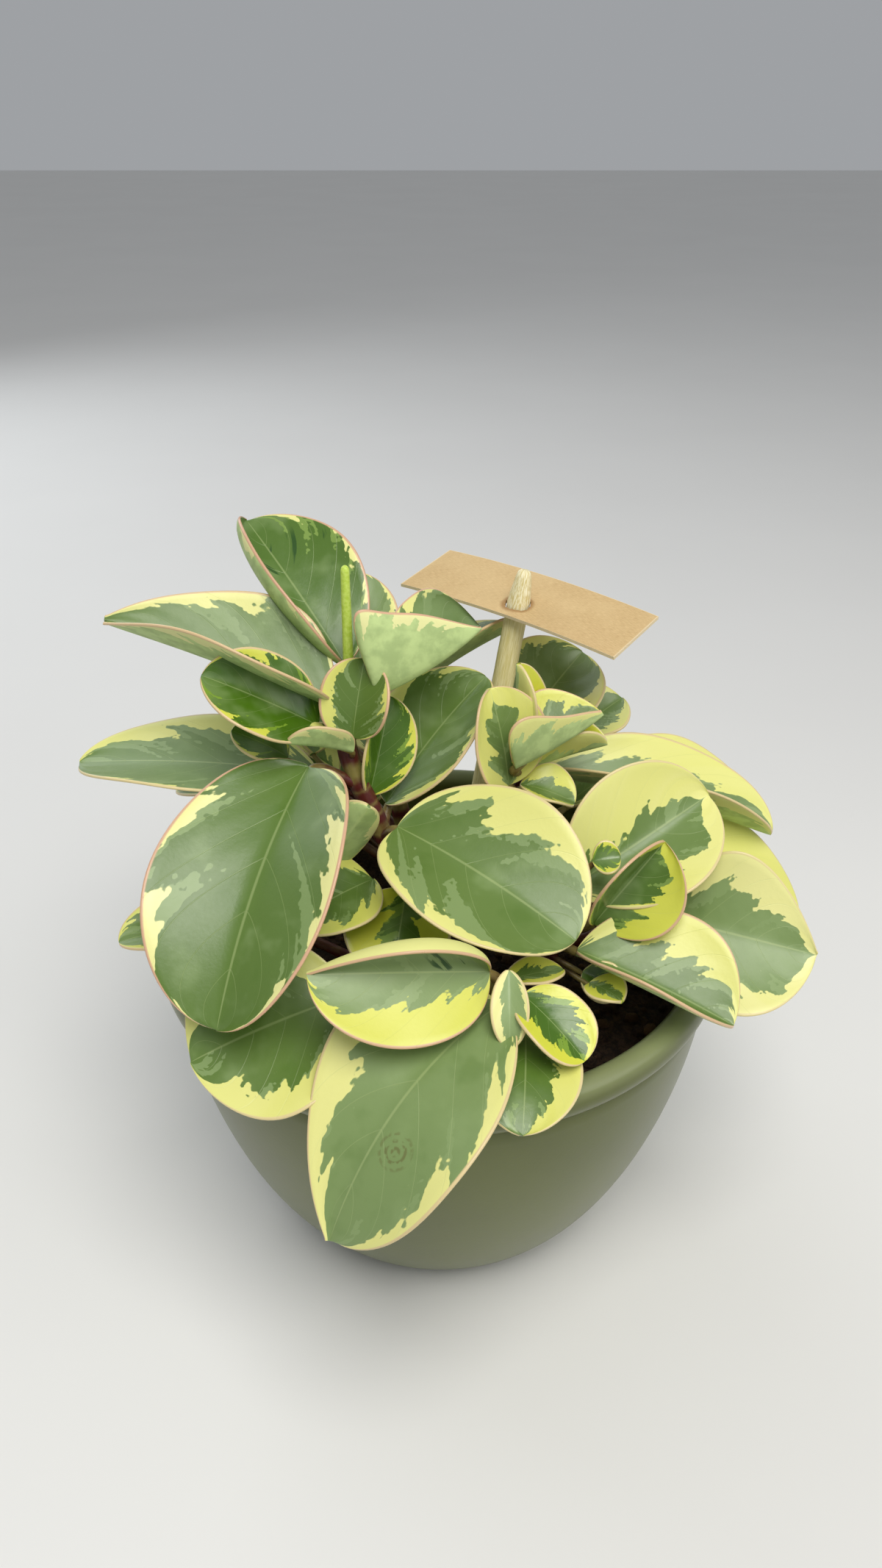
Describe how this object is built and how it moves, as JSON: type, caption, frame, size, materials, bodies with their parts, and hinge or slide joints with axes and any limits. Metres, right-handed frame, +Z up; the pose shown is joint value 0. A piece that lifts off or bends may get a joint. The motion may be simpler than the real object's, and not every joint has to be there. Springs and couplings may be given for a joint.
{
  "type": "potted peperomia",
  "caption": "Bushy variegated peperomia with thick cream-edged leaves in a smooth bowl-shaped pot with a rolled lip, with a blank plant marker card on a stick.",
  "frame": {"origin": "centre of the pot's flat base", "axes": "+Z up the pot's axis; -Y faces the camera of the reference picture, +X is to its right"},
  "size_m": [0.1775, 0.1807, 0.1802],
  "materials": {
    "glaze": "satin sage-green glaze",
    "soil": "dark crumbly potting soil",
    "foliage": "waxy thick leaf, green with a cream-yellow margin",
    "bamboo": "bare pale bamboo with lengthwise fibres",
    "kraft": "matt brown kraft board, bare"
  },
  "bodies": {
    "root": {"pot": "glaze", "soil": "soil", "leafy_stem_left": "foliage", "leafy_stem_back_left": "foliage", "leafy_stem_right": "foliage", "leafy_stem_back_right": "foliage", "leafy_stem_front_right": "foliage", "leafy_stem_front": "foliage", "leafy_stem_front_left": "foliage", "marker_stick": "bamboo", "marker_card": "kraft"}
  },
  "joints": []
}
